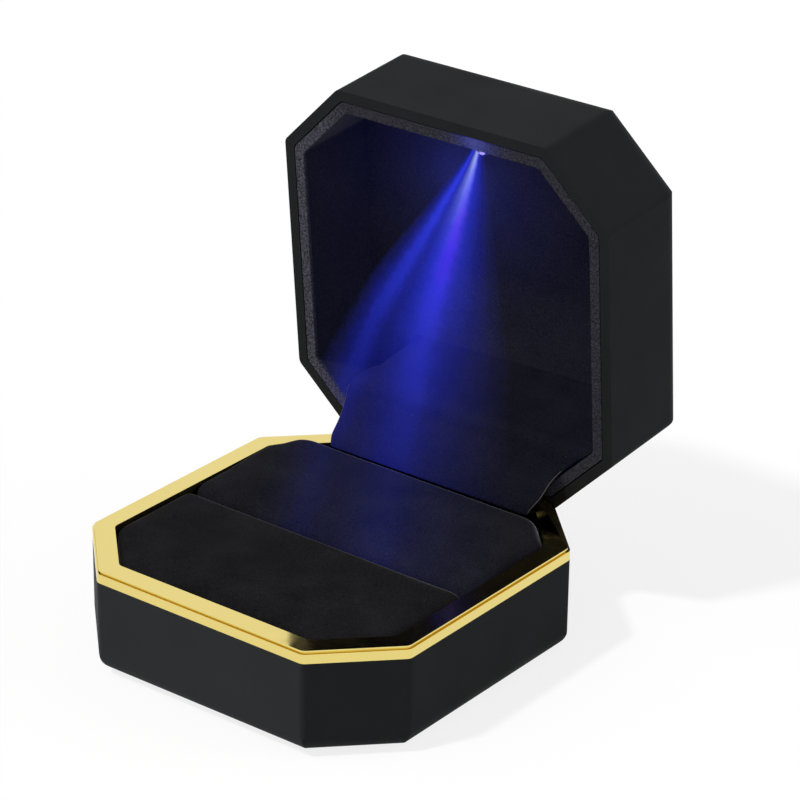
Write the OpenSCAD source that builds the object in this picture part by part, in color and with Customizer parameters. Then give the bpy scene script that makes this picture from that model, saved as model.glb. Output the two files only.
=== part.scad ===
// Ring display box: an octagonal case with a gold trim, a ring slot between
// two velvet pads, and a hinged lid with a lamp that lights when it is open.
// Frame: X along the hinge, -Y to the front, Z up, the origin in the middle of
// the underside. Lid pieces are drawn closed, then turned open about the hinge.

/* [Case] */
// Width of the case across its side faces
case_w = 65; // [62:0.5:80]
// Depth of the case across its front and rear faces
case_d = 65; // [63:0.5:80]
// How far each corner face cuts into the sides
corner_cut = 11.7; // [10:0.1:13]
// Height from the resting surface to the top of the trim
base_h = 18.8; // [18:0.1:26]
// Height of the lid
lid_h = 20; // [19.6:0.1:24]
// Thickness of the side walls
shell_wall = 1.8; // [1.6:0.05:1.9]
// Thickness of the base shell's floor
floor_wall = 1.8; // [1.4:0.1:2.6]
// Thickness of the lid shell's roof
roof_wall = 1.4; // [1:0.1:1.8]
// Radius along the lower edge of the base and the upper edge of the lid
edge_round = 3.6; // [2.8:0.1:4.5]
// Radius of the upright corners
corner_round = 1.5; // [1:0.1:2]
// Gap between the closed lid and the trim
parting_gap = 0.15; // [0.1:0.05:0.3]
// How far the lid opens, in degrees
open_angle = 85; // [70:1:88]

/* [Trim and underside] */
// Height of the trim's outer band
trim_h = 2.1; // [1.7:0.1:2.6]
// Width of the trim's flat top
trim_face = 3.6; // [3.3:0.1:4]
// Thickness of the trim's flat top
trim_top = 1.2; // [1:0.1:1.4]
// How far the flat top stands in from the outer band
trim_step = 0.3; // [0.2:0.05:0.5]
// Height of the line between the outer band and the flat top
trim_line = 0.25; // [0.2:0.05:0.4]
// How far the trim's skirt reaches into the base
skirt_h = 2.6; // [2:0.1:2.8]
// Thickness of the trim's skirt
skirt_wall = 0.7; // [0.6:0.05:0.8]
// Thickness of the underside pad
foot_h = 0.5; // [0.4:0.1:1]
// How far the underside pad stands in from the sides
foot_inset = 5; // [4.6:0.1:8]

/* [Ring insert] */
// Thickness of the tray's floor and walls
tray_wall = 1; // [0.8:0.1:1.2]
// Distance of the ring slot in front of the middle
slot_y = 1.2; // [0:0.1:4]
// Width of the ring slot at the top of the pads
slot_w = 0.8; // [0.5:0.1:1.6]
// Clearance between the pads and the trim
pad_gap = 0.2; // [0.1:0.05:0.4]
// Radius of the pads' rolled edges
pad_round = 1.8; // [1.2:0.1:2.4]
// Crown of the pads
pad_crown = 0.5; // [0.2:0.1:1]
// Height of the front pad's edges over the trim
front_pad_rise = -0.2; // [-1:0.1:0.5]
// Height of the rear pad's rear lip over the trim
rear_pad_rise = 1.1; // [0:0.1:1.2]

/* [Hinge] */
// Distance of the hinge axis from the rear face
hinge_in = 0.75; // [0.7:0.05:0.8]
// Depth of the hinge axis below the top of the trim
hinge_drop = 0.8; // [0.75:0.05:0.9]
// Length of the hinge barrel
hinge_len = 30; // [28:0.5:31]
// Radius of the hinge barrel
barrel_r = 1.6; // [1.5:0.05:1.65]
// Radius of the hinge pin
pin_r = 0.7; // [0.6:0.05:0.75]
// Radial clearance of the pin in the knuckles
pin_fit = 0.05; // [0.03:0.01:0.08]
// Thickness of the hinge leaves
leaf_t = 0.6; // [0.5:0.05:0.65]
// Clearance between the knuckles, and round the barrel
knuckle_gap = 0.2; // [0.15:0.05:0.25]
// Length of the gap for the spring in the middle of the barrel
spring_len = 8.6; // [7:0.2:10]
// Wire of the hinge spring
spring_wire = 0.4; // [0.3:0.05:0.45]

/* [Lid lining and hinge cover] */
// Depth of the lined hollow in the lid
hollow_h = 17.2; // [16.8:0.1:17.4]
// Thickness of the lining
liner_wall = 0.9; // [0.7:0.05:0.95]
// Width of the lining's rim
liner_rim = 1.75; // [1.6:0.05:1.9]
// Gap between the shell and the lining's rim
liner_gap = 0.2; // [0.1:0.05:0.25]
// Radius inside the lining, along its floor
liner_round = 1.4; // [1:0.1:1.8]
// Thickness of the hinge cover
cover_t = 0.8; // [0.6:0.05:0.85]
// Outer radius of the cover's curved flap, about the hinge axis
flap_r = 6.5; // [6.4:0.05:6.7]
// Width of the curved flap
flap_w = 43; // [40:0.5:45]
// Width of the cover's box inside the lid
cover_w = 43; // [40.5:0.5:44]
// Depth of the cover's box from the rear face
cover_d = 11.2; // [11:0.1:12.5]
// Height of the cover's step above the lid's rim
cover_step = 1.4; // [1.3:0.1:1.8]
// How far the cover's face leans into the hollow at the lining's floor
cover_lean = 1.8; // [0:0.1:3]

/* [Lamp and switch] */
// Diameter of the lamp's lens
lamp_d = 3; // [2.6:0.1:3.2]
// Distance of the lens tip from the lid's inner front corner
lamp_reach = 9.4; // [8.8:0.1:10]
// Width of the lamp's housing
lamp_house_w = 8; // [7:0.5:10]
// Sides of the lamp's housing along the lid's front and roof
lamp_house = 8; // [7.6:0.1:8.6]
// Diameter of a coin cell
cell_d = 9.5; // [8.5:0.1:9.5]
// Thickness of a coin cell
cell_t = 2.7; // [2.4:0.1:3]
// Width of the clips that hold the cells
clip_w = 3; // [2:0.1:4]
// Thickness of the circuit boards
board_t = 0.8; // [0.6:0.1:0.9]
// Diameter of the lamp's wires
wire_d = 0.45; // [0.4:0.05:0.5]
// Travel of the switch plunger
plunger_travel = 1.2; // [1:0.1:1.3]
// Radius of the switch plunger
plunger_r = 0.6; // [0.5:0.05:0.6]

/* [Hidden] */
$fn = 48;

// Planes of the case
rear_y = case_d / 2;
rim_z = base_h + parting_gap;
band_z = base_h - trim_h;
base_floor_z = foot_h + floor_wall;
inner_round = max(edge_round - shell_wall, 0.5);
past = 0.5;
reach = case_w + case_d;
skirt_inset = shell_wall + 0.1;
// Depth across the case where a corner face, moved in by inset, stands at x
function corner_y(inset, x) = case_w / 2 + case_d / 2 - corner_cut - inset * sqrt(2) - x;

// Clearance between pieces that only sit side by side
seat_gap = 0.3;
// Clearance of the curved flap from what it passes
flap_gap = 0.35;

// Hinge axis
axis_y = rear_y - hinge_in;
axis_z = base_h - hinge_drop;
notch_r = barrel_r + knuckle_gap;
pin_head_h = 0.5;
pin_head_r = pin_r + 0.3;
notch_w = hinge_len + 2 * (pin_head_h + knuckle_gap);
leaf_y = rear_y - shell_wall - leaf_t;
// The leaves stay inside the curved flap
leaf_h = sqrt(pow(flap_r - cover_t - seat_gap, 2) - pow(axis_y - leaf_y, 2));
leaf_start = barrel_r + 0.15;
leaf_notch = leaf_start + 1.6;
screw_r = 0.5;
screw_fit = 0.05;
screw_head_r = 1;
screw_head_h = 0.35;
screw_slot = 0.24;
screw_len = 1.1;
screw_x = hinge_len / 2 - 3.5;
screw_z = leaf_h - 1.5;
// Each leaf's knuckles take half of what the spring leaves free
knuckle_len = (hinge_len - spring_len) / 4 - knuckle_gap;
base_knuckle_x = hinge_len / 2 - knuckle_len;
lid_knuckle_x = spring_len / 2 + knuckle_gap;

// Insert
insert_z = base_floor_z + tray_wall;
tray_inset = shell_wall + seat_gap;
tray_side_z = band_z - skirt_h - seat_gap;
tray_rear_z = axis_z - flap_r - flap_gap;
pad_inset = trim_face + pad_gap;
// The rounding inside the tray leaves the pads' lower edges free
tray_round = max(pad_inset - tray_inset - tray_wall - 0.1, 0.1);
pad_rear_y = axis_y - flap_r - flap_gap;
// The rib stands behind the rear pad, outside the flap's path
rib_front_y = pad_rear_y + pad_gap / 2;
rib_rear_y = rib_front_y + tray_wall;
rib_z = axis_z - sqrt(pow(flap_r + flap_gap, 2) - pow(axis_y - rib_rear_y, 2));
rib_w = flap_w + 2;

// Lining and cover
liner_inset = shell_wall + liner_gap + liner_rim;
liner_out_inset = liner_inset - liner_wall;
hollow_z = rim_z + hollow_h;
liner_rear_y = rear_y - liner_inset;
cover_y = rear_y - cover_d;
cover_bend = 1;
cover_cheek = 1;
cover_gap = 0.1;
// The cheeks end at the lining's corner faces or at its rear wall
cover_cheek_y = min(liner_rear_y, corner_y(liner_inset, cover_w / 2)) - cover_gap;
step_z = rim_z + cover_step;
flap_end_angle = 258;

// Lamp corner: where the lining's front wall meets its floor
lamp_corner_y = -rear_y + liner_inset;
lamp_face = lamp_house / sqrt(2);
lamp_skin = 1;
lamp_fit = 0.1;
lamp_flange_h = 1;
lamp_flange_r = lamp_d / 2 + 0.35;
lamp_board_w = 5;
lamp_board_gap = 0.3;

// Boards, cells and switch: the board stands between the cover's cheeks and
// between the lining's rounded corners
board_y = liner_rear_y - board_t;
board_rise = 6.3;
board_z = rim_z + board_rise;
board_top = hollow_z - liner_round;
board_x = min(corner_y(liner_inset, liner_rear_y) - corner_round * tan(22.5),
  cover_w / 2 - cover_cheek) - 0.1;
cell_z = (board_z + board_top) / 2;
cell_pitch = cell_d + 2;
cell_x = -4.5;
cell_rim = 0.8;
cell_rise = 0.3;
clip_t = 0.3;
clip_fit = 0.1;
chip_w = 2.2;
chip_h = 1.2;
chip_t = 0.55;
chip_cap = 0.5;
wire_x = 0.9;
wire_z = (hollow_z + liner_wall + rim_z + lid_h - roof_wall) / 2;
wire_slot = wire_d + 0.2;
wire_rear_y = board_y + board_t / 2;
wire_front_y = lamp_corner_y + 2.3;
switch_w = 3.6;
switch_d = 2;
switch_h = 3.5;
switch_lip = 0.6;
switch_roof = 0.4;
switch_x = board_x - switch_w / 2;
switch_y = board_y - switch_d / 2;
plunger_fit = 0.06;
plunger_rest = 0.05;
collar_r = plunger_r + 0.3;
collar_h = 0.5;
collar_z = board_z + switch_lip + plunger_rest;
tab_w = 3;

// ---------- Outlines and tubes ----------

// Corners of the case's outline, moved in by inset
function octagon_points(inset) =
  let (x = case_w / 2 - inset, y = case_d / 2 - inset, c = corner_cut - inset * (2 - sqrt(2)))
  [[x, -y + c], [x, y - c], [x - c, y], [-x + c, y], [-x, y - c], [-x, -y + c], [-x + c, -y], [x - c, -y]];

// The case's outline, moved in by inset, with true arcs at its corners:
// strips from each face to the opposite one, and a circle at each corner
module octagon(inset, round) {
  p = octagon_points(inset + round);
  for (i = [0:3]) {
    out = round * [cos(45 * i), sin(45 * i)];
    polygon([p[i] + out, p[i + 1] + out, p[i + 4] - out, p[(i + 5) % 8] - out]);
  }
  for (v = p) translate(v) circle(round);
}

module prism(inset, round, z0, z1) {
  translate([0, 0, z0]) linear_extrude(z1 - z0) octagon(inset, round);
}

module ring(inset_out, inset_in, z0, z1) {
  difference() {
    prism(inset_out, corner_round, z0, z1);
    prism(inset_in, corner_round, z0 - past, z1 + past);
  }
}

// A long slab between two opposite faces, rounded along its upper edges
module rounded_slab(angle, half, h, round) {
  rotate([0, 0, angle]) rotate([90, 0, 0]) translate([0, 0, -reach / 2]) linear_extrude(reach) {
    translate([-half, 0]) square([2 * half, h - round]);
    translate([-half + round, 0]) square([2 * (half - round), h]);
    for (side = [-1, 1]) translate([side * (half - round), h - round]) circle(round);
  }
}

// The case's outline raised to height h, with all upper edges rounded
module crowned_block(inset, h, edge_r, corner_r) {
  corner_half = (case_w / 2 + case_d / 2 - corner_cut) / sqrt(2) - inset;
  intersection() {
    linear_extrude(h) octagon(inset, corner_r);
    rounded_slab(0, case_w / 2 - inset, h, edge_r);
    rounded_slab(90, case_d / 2 - inset, h, edge_r);
    rounded_slab(45, corner_half, h, edge_r);
    rounded_slab(-45, corner_half, h, edge_r);
  }
}

function unit(v) = v / norm(v);

// A wire of radius r through points, its rings turned towards the direction up
module wire(points, r, up, sides = 6) {
  n = len(points);
  tangents = [for (i = [0:n - 1]) unit(points[min(i + 1, n - 1)] - points[max(i - 1, 0)])];
  rings = [for (i = [0:n - 1])
    let (t = tangents[i], a = unit(up - (up * t) * t), b = cross(t, a))
    for (k = [0:sides - 1]) points[i] + r * (cos(360 * k / sides) * a + sin(360 * k / sides) * b)];
  walls = [for (i = [0:n - 2]) for (k = [0:sides - 1]) let (k2 = (k + 1) % sides)
    each [[i * sides + k, (i + 1) * sides + k, i * sides + k2],
      [i * sides + k2, (i + 1) * sides + k, (i + 1) * sides + k2]]];
  start = [for (k = [0:sides - 1]) k];
  end = [for (k = [sides - 1:-1:0]) (n - 1) * sides + k];
  polyhedron(rings, concat(walls, [start], [end]));
}

// Draws lid pieces open, from the closed position
module in_lid() {
  translate([0, axis_y, axis_z]) rotate([-open_angle, 0, 0]) translate([0, -axis_y, -axis_z]) children();
}

// A cylinder along X through the point y, z
module bar(r, x0, x1, y, z) {
  translate([x0, y, z]) rotate([0, 90, 0]) cylinder(r = r, h = x1 - x0);
}

// An outline in Y and Z, extruded along X about the middle
module across(w) {
  rotate([90, 0, 90]) translate([0, 0, -w / 2]) linear_extrude(w) children();
}

module box(x0, x1, y0, y1, z0, z1) {
  translate([x0, y0, z0]) cube([x1 - x0, y1 - y0, z1 - z0]);
}

// ---------- Base ----------

module base_pad() {
  color("dimgray") prism(foot_inset, corner_round, 0, foot_h);
}

// The case's outline from z0 to z1, with all lower edges rounded
module cupped_block(inset, z0, z1, edge_r) {
  translate([0, 0, z1]) mirror([0, 0, 1]) crowned_block(inset, z1 - z0, edge_r, corner_round);
}

module base_shell() {
  color([0.07, 0.08, 0.08]) difference() {
    cupped_block(0, foot_h, band_z, edge_round);
    cupped_block(shell_wall, base_floor_z, band_z + past, inner_round);
    bar(notch_r, -notch_w / 2, notch_w / 2, axis_y, axis_z);
    base_screw_places() screw_hole();
  }
}

module trim_frame() {
  line_z = base_h - 2 * trim_line;
  color("gold") difference() {
    union() {
      ring(0, shell_wall, band_z, line_z);
      ring(trim_step + trim_line, shell_wall, band_z, base_h);
      ring(trim_step, shell_wall, base_h - trim_line, base_h);
      ring(shell_wall - past, trim_face, base_h - trim_top, base_h);
      ring(skirt_inset, skirt_inset + skirt_wall, band_z - skirt_h, base_h - trim_top / 2);
      switch_tab();
    }
    // Room for the barrel and the leaf behind the pad
    bar(notch_r, -notch_w / 2, notch_w / 2, axis_y, axis_z);
    box(-notch_w / 2, notch_w / 2, leaf_y - seat_gap, rear_y + past, 0, base_h + past);
    // The rear upper edge is round about the hinge axis, where the lid's rim passes
    difference() {
      box(-reach, reach, axis_y, rear_y + past, axis_z, base_h + past);
      bar(hinge_drop + parting_gap / 3, -reach, reach, axis_y, axis_z);
    }
  }
}

// A tab that presses the switch plunger when the lid is closed
module switch_tab() {
  box(switch_x - tab_w / 2, switch_x + tab_w / 2, switch_y - plunger_r, rear_y - shell_wall,
    base_h - trim_top, base_h);
}

module insert_tray() {
  color([0.12, 0.12, 0.13]) {
    difference() {
      cupped_block(tray_inset, base_floor_z, tray_side_z, inner_round);
      cupped_block(tray_inset + tray_wall, insert_z, tray_side_z + past, tray_round);
      box(-reach, reach, pad_rear_y, reach, tray_rear_z, base_h);
    }
    box(-rib_w / 2, rib_w / 2, rib_front_y, rib_rear_y, insert_z - past, rib_z);
  }
}

// Corners of a convex outline, moved in by d
function moved_in(p, d) = let (n = len(p)) [for (i = [0:n - 1])
  let (before = unit(p[i] - p[(i + n - 1) % n]), after = unit(p[(i + 1) % n] - p[i]),
    na = [-before.y, before.x], nb = [-after.y, after.x])
  p[i] + d * (na + nb) / (1 + na * nb)];

// One loop round a pad: the outline moved in by d, with small arcs at its corners
function pad_loop(p, d, round, steps = 3) = let (c = moved_in(p, d + round), n = len(p))
  [for (i = [0:n - 1])
    let (before = p[i] - p[(i + n - 1) % n], after = p[(i + 1) % n] - p[i],
      a = atan2(-before.x, before.y), turn = (atan2(-after.x, after.y) - a + 720) % 360)
    for (k = [0:steps]) c[i] + round * [cos(a + turn * k / steps), sin(a + turn * k / steps)]];

// A soft pad on the outline p: upright sides, a rolled edge and a low crown.
// Its upper edge slopes from z_front at y_front to z_rear at y_rear.
module soft_pad(p, z0, y_front, z_front, y_rear, z_rear) {
  edge_steps = 6;
  crown_steps = 5;
  crown_reach = 8;
  edge = [for (i = [0:edge_steps]) let (a = 90 * i / edge_steps)
    [pad_round * (1 - cos(a)), pad_round * (sin(a) - 1)]];
  crown = [for (i = [1:crown_steps]) let (s = i / crown_steps)
    [pad_round + crown_reach * s, pad_crown * sin(90 * s)]];
  profile = concat([[0, undef]], edge, crown);
  loops = [for (q = profile) [for (v = pad_loop(p, q[0], corner_round))
    [v.x, v.y, q[1] == undef ? z0
      : q[1] + z_front + (z_rear - z_front) * (v.y - y_front) / (y_rear - y_front)]]];
  m = len(loops[0]);
  last = len(loops) - 1;
  walls = [for (j = [0:last - 1]) for (i = [0:m - 1]) let (i2 = (i + 1) % m)
    each [[j * m + i, (j + 1) * m + i, j * m + i2], [j * m + i2, (j + 1) * m + i, (j + 1) * m + i2]]];
  centre = len(loops) * m;
  middle = [for (k = [0:2]) let (s = [for (v = loops[last]) v[k]]) total(s) / m];
  top = [for (i = [0:m - 1]) [last * m + i, centre, last * m + (i + 1) % m]];
  polyhedron(concat([for (l = loops) each l], [middle]),
    concat(walls, top, [[for (i = [0:m - 1]) i]]));
}

function total(v, i = 0) = i == len(v) ? 0 : v[i] + total(v, i + 1);

// Outline of the insert between the lines y0 and y1 across it
function insert_outline(y0, y1) =
  let (corner = octagon_points(pad_inset)[1], front = -corner.y > y0, rear = corner.y < y1)
  let (x0 = min(corner.x, corner_y(pad_inset, -y0)), x1 = min(corner.x, corner_y(pad_inset, y1)))
  concat([[x0, y0]], front ? [[corner.x, -corner.y]] : [], rear ? [corner] : [], [[x1, y1]],
    [[-x1, y1]], rear ? [[-corner.x, corner.y]] : [], front ? [-corner] : [], [[-x0, y0]]);

module front_pad() {
  y0 = -rear_y + pad_inset;
  y1 = -slot_y - slot_w / 2;
  color([0.05, 0.05, 0.06])
    soft_pad(insert_outline(y0, y1), insert_z, y0, base_h + front_pad_rise, y1, base_h + front_pad_rise);
}

module rear_pad() {
  y0 = -slot_y + slot_w / 2;
  color([0.05, 0.05, 0.06])
    soft_pad(insert_outline(y0, pad_rear_y), insert_z, y0, base_h + front_pad_rise,
      pad_rear_y, base_h + rear_pad_rise);
}

// ---------- Hinge ----------

// Leaf of the hinge: up = 1 in the lid, -1 in the base
module leaf(up, knuckle_x) {
  translate([0, axis_y, axis_z]) upright(up) difference() {
    union() {
      leaf_plate(-hinge_len / 2, hinge_len / 2, leaf_start, leaf_h, 0);
      for (side = [-1, 1]) {
        x0 = side > 0 ? knuckle_x : -knuckle_x - knuckle_len;
        bar(barrel_r, x0, x0 + knuckle_len, 0, 0);
        leaf_plate(x0, x0 + knuckle_len, 0, leaf_h, 0);
      }
    }
    bar(pin_r + pin_fit, -reach, reach, 0, 0);
    leaf_plate(-spring_len / 2, spring_len / 2, 0, leaf_notch, past);
    for (side = [-1, 1]) translate([side * screw_x, leaf_y - axis_y - past, screw_z])
      rotate([-90, 0, 0]) cylinder(r = screw_r + screw_fit, h = leaf_t + 2 * past);
  }
}

// Part of a leaf's plate, seen from the hinge axis, thicker by extra on both faces
module leaf_plate(x0, x1, z0, z1, extra) {
  y0 = leaf_y - axis_y;
  box(x0, x1, y0 - extra, y0 + leaf_t + extra, z0, z1);
}

// Turns a shape upside down where up is -1
module upright(up) {
  mirror([0, 0, up > 0 ? 0 : 1]) children();
}

module screw_hole() {
  rotate([-90, 0, 0]) cylinder(r = screw_r, h = leaf_t + screw_len + 0.1);
}

module screw() {
  rotate([-90, 0, 0]) cylinder(r = screw_r, h = leaf_t + screw_len);
  difference() {
    rotate([90, 0, 0]) cylinder(r = screw_head_r, h = screw_head_h);
    box(-screw_head_r, screw_head_r, -screw_head_h - past, -screw_head_h / 2,
      -screw_slot / 2, screw_slot / 2);
  }
}

module base_screw_places() {
  for (side = [-1, 1]) translate([side * screw_x, leaf_y, axis_z - screw_z]) children();
}

module lid_screw_places() {
  for (side = [-1, 1]) translate([side * screw_x, leaf_y, axis_z + screw_z]) children();
}

module hinge_base_leaf() {
  color("silver") leaf(-1, base_knuckle_x);
}

module hinge_lid_leaf() {
  color("silver") in_lid() leaf(1, lid_knuckle_x);
}

module hinge_base_screws() {
  color("gray") base_screw_places() screw();
}

module hinge_lid_screws() {
  color("gray") in_lid() lid_screw_places() screw();
}

module hinge_pin() {
  color("lightgray") {
    bar(pin_r, -hinge_len / 2, hinge_len / 2, axis_y, axis_z);
    for (side = [-1, 1]) {
      x0 = side > 0 ? hinge_len / 2 : -hinge_len / 2 - pin_head_h;
      bar(pin_head_r, x0, x0 + pin_head_h, axis_y, axis_z);
    }
  }
}

// Torsion spring: one leg stands on the base leaf, the other on the lid leaf
module hinge_spring() {
  // The legs lie in the plane of the leaves
  coil_r = axis_y - leaf_y - leaf_t / 2;
  turns = 7;
  turn_steps = 10;
  coil_len = spring_len - 2 * spring_wire;
  sweep = 360 * turns + open_angle;
  steps = turns * turn_steps;
  end_a = 180 - sweep;
  coil = [for (i = [0:steps]) let (a = 180 - sweep * i / steps)
    [coil_len * (i / steps - 0.5), coil_r * cos(a), coil_r * sin(a)]];
  base_leg = coil[0] - [0, 0, leaf_notch];
  lid_leg = coil[steps] + leaf_notch * [0, sin(end_a), -cos(end_a)];
  color("darkgray") translate([0, axis_y, axis_z])
    wire(concat([base_leg], coil, [lid_leg]), spring_wire / 2, [1, 0, 0]);
}

// ---------- Lid ----------

module lid_shell() {
  color([0.07, 0.08, 0.08]) in_lid() difference() {
    translate([0, 0, rim_z]) crowned_block(0, lid_h, edge_round, corner_round);
    translate([0, 0, rim_z - past])
      crowned_block(shell_wall, lid_h - roof_wall + past, inner_round, corner_round);
    bar(notch_r, -notch_w / 2, notch_w / 2, axis_y, axis_z);
    lid_screw_places() screw_hole();
  }
}

module lid_liner() {
  color([0.06, 0.06, 0.08]) in_lid() difference() {
    union() {
      translate([0, 0, rim_z])
        crowned_block(liner_out_inset, hollow_h + liner_wall, liner_round + liner_wall, corner_round);
      prism(shell_wall + liner_gap, corner_round, rim_z, rim_z + liner_wall);
    }
    translate([0, 0, rim_z - past]) crowned_block(liner_inset, hollow_h + past, liner_round, corner_round);
    // Room for the hinge leaf behind the rim
    box(-notch_w / 2, notch_w / 2, leaf_y - seat_gap, rear_y, rim_z - past, rim_z + 2 * liner_wall);
    // Slots for the lamp's wires
    for (y = [wire_front_y, wire_rear_y])
      box(-wire_x - wire_d, wire_x + wire_d, y - wire_slot / 2, y + wire_slot / 2,
        board_top, rim_z + lid_h);
  }
}

// Sector of a flat ring, from angle a0 to a1 (less than half a turn apart)
module ring_sector(y, z, r_in, r_out, a0, a1) {
  far = 3 * r_out;
  mid = (a0 + a1) / 2;
  translate([y, z]) intersection() {
    difference() {
      circle(r_out, $fn = 96);
      circle(r_in, $fn = 96);
    }
    polygon([[0, 0], far * [cos(a0), sin(a0)], far * [cos(mid), sin(mid)], far * [cos(a1), sin(a1)]]);
  }
}

module flat(y0, y1, z0, z1) {
  translate([y0, z0]) square([y1 - y0, z1 - z0]);
}

// Velvet-covered sheet: a flap that curls round the hinge and, inside the lid,
// a step and a leaning face that hide the cells
module hinge_cover() {
  flap_y = axis_y - flap_r;
  bend_r = cover_bend + cover_t;
  face_z = step_z + bend_r;
  cheek_chamfer = liner_round * sqrt(2);
  join = 0.01;
  color([0.05, 0.05, 0.06]) in_lid() {
    // The flap's lower corners keep clear of the base's corner faces
    intersection() {
      across(flap_w) {
        ring_sector(axis_y, axis_z, flap_r - cover_t, flap_r, 180, flap_end_angle);
        flat(flap_y, flap_y + cover_t, axis_z - join, step_z - cover_bend + join);
      }
      prism(shell_wall + flap_gap, corner_round, 0, step_z);
    }
    across(cover_w) {
      ring_sector(flap_y - cover_bend, step_z - cover_bend, cover_bend, bend_r, 0, 90);
      flat(cover_y + bend_r - join, flap_y - cover_bend + join, step_z, step_z + cover_t);
      ring_sector(cover_y + bend_r, face_z, cover_bend, bend_r, 180, 270);
      polygon([[cover_y, face_z - join], [cover_y - cover_lean, hollow_z],
        [cover_y - cover_lean + cover_t, hollow_z], [cover_y + cover_t, face_z - join]]);
    }
    // The cheeks' rear corners keep clear of the rounding along the lining's floor
    for (side = [-1, 1]) translate([side * (cover_w - cover_cheek) / 2, 0, 0]) across(cover_cheek)
      polygon([[cover_y, face_z - join], [cover_y - cover_lean, hollow_z],
        [cover_cheek_y - cheek_chamfer, hollow_z], [cover_cheek_y, hollow_z - liner_round],
        [cover_cheek_y, face_z - join]]);
  }
}

// ---------- Lamp, cells and switch ----------

module battery_board() {
  color("darkgreen") in_lid() box(-board_x, board_x, board_y, liner_rear_y, board_z, board_top);
}

module cell_places() {
  for (i = [-0.5, 0.5]) translate([cell_x + i * cell_pitch, board_y, cell_z]) children();
}

module coin_cells() {
  color("silver") in_lid() cell_places() rotate([90, 0, 0]) {
    cylinder(d = cell_d, h = cell_t - cell_rise);
    cylinder(d = cell_d - 2 * cell_rim, h = cell_t);
  }
}

// A bridge over each cell, on two legs
module battery_clips() {
  inner_x = cell_d / 2 + clip_fit;
  outer_x = inner_x + clip_t;
  color("lightgray") in_lid() cell_places() difference() {
    box(-outer_x, outer_x, -cell_t - clip_t, 0, -clip_w / 2, clip_w / 2);
    box(-inner_x, inner_x, -cell_t, past, -clip_w, clip_w);
  }
}

module resistor() {
  chip_x = cell_x + cell_pitch / 2 + cell_d / 2 + 1.5 + chip_w;
  color("black") in_lid() translate([chip_x, board_y, cell_z]) {
    box(-chip_w / 2, chip_w / 2, -chip_t, 0, -chip_h / 2, chip_h / 2);
    for (side = [-1, 1]) translate([side * (chip_w + chip_cap) / 2, 0, 0])
      box(-chip_cap / 2, chip_cap / 2, -chip_t, 0, -chip_h / 2, chip_h / 2);
  }
}

module switch_body() {
  color([0.2, 0.2, 0.22]) in_lid() translate([switch_x, switch_y, board_z]) difference() {
    box(-switch_w / 2, switch_w / 2, -switch_d / 2, switch_d / 2, 0, switch_h);
    translate([0, 0, -past]) cylinder(r = plunger_r + plunger_fit, h = switch_h);
    translate([0, 0, switch_lip])
      cylinder(r = collar_r + plunger_fit, h = switch_h - switch_lip - switch_roof);
  }
}

module switch_plunger() {
  tip_z = rim_z - plunger_travel;
  color("white") in_lid() translate([switch_x, switch_y, 0]) {
    translate([0, 0, tip_z + plunger_r]) cylinder(r = plunger_r, h = collar_z - tip_z - plunger_r);
    translate([0, 0, tip_z + plunger_r]) sphere(plunger_r);
    translate([0, 0, collar_z]) cylinder(r = collar_r, h = collar_h);
  }
}

module switch_spring() {
  spring_r = 0.1;
  turns = 4;
  turn_steps = 10;
  z0 = collar_z + collar_h + spring_r;
  z1 = board_z + switch_h - switch_roof - spring_r;
  steps = turns * turn_steps;
  color("darkgray") in_lid() translate([switch_x, switch_y, z0])
    wire([for (i = [0:steps]) let (a = 360 * i / turn_steps)
      [plunger_r * cos(a), plunger_r * sin(a), (z1 - z0) * i / steps]], spring_r, [0, 0, 1]);
}

// Places a piece at the lid's inner front corner, its Z axis along the lamp
module at_lamp() {
  in_lid() translate([0, lamp_corner_y, hollow_z]) rotate([-135, 0, 0]) children();
}

// A sloping cap between two cheeks, open towards the lining, whose rounding its corner clears
module lamp_housing() {
  a = lamp_house;
  inner = a - lamp_skin * sqrt(2);
  corner = liner_round;
  color([0.08, 0.08, 0.1]) difference() {
    in_lid() translate([0, lamp_corner_y, hollow_z]) difference() {
      across(lamp_house_w) polygon([[corner, 0], [a, 0], [0, -a], [0, -corner]]);
      across(lamp_house_w - 2 * lamp_skin)
        polygon([[-past, past], [inner, past], [inner, 0], [0, -inner], [-past, -inner]]);
    }
    at_lamp() cylinder(d = lamp_d + 2 * lamp_fit, h = lamp_reach);
  }
}

module lamp() {
  body_z = lamp_reach - lamp_d / 2;
  flange_z = lamp_face - lamp_skin - lamp_flange_h;
  color("lightblue") at_lamp() {
    translate([0, 0, flange_z]) cylinder(r = lamp_flange_r, h = lamp_flange_h);
    translate([0, 0, flange_z]) cylinder(d = lamp_d, h = body_z - flange_z);
    translate([0, 0, body_z]) sphere(d = lamp_d);
  }
}

module lamp_board() {
  top_z = lamp_face - lamp_skin - lamp_flange_h;
  half = top_z - board_t - lamp_board_gap;
  color("darkgreen") at_lamp()
    box(-lamp_board_w / 2, lamp_board_w / 2, -half, half, top_z - board_t, top_z);
}

// Two wires from the upper edge of the cell board, over the lining, to the lamp board
module lamp_wires() {
  lamp_end_z = hollow_z - 0.9;
  r = wire_d / 2;
  color("firebrick") in_lid() for (side = [-1, 1]) translate([side * wire_x, 0, 0]) {
    translate([0, wire_rear_y, board_top]) cylinder(r = r, h = wire_z - board_top);
    translate([0, wire_rear_y, wire_z]) {
      sphere(r);
      rotate([90, 0, 0]) cylinder(r = r, h = wire_rear_y - wire_front_y);
    }
    translate([0, wire_front_y, wire_z]) sphere(r);
    translate([0, wire_front_y, lamp_end_z]) cylinder(r = r, h = wire_z - lamp_end_z);
  }
}

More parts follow.
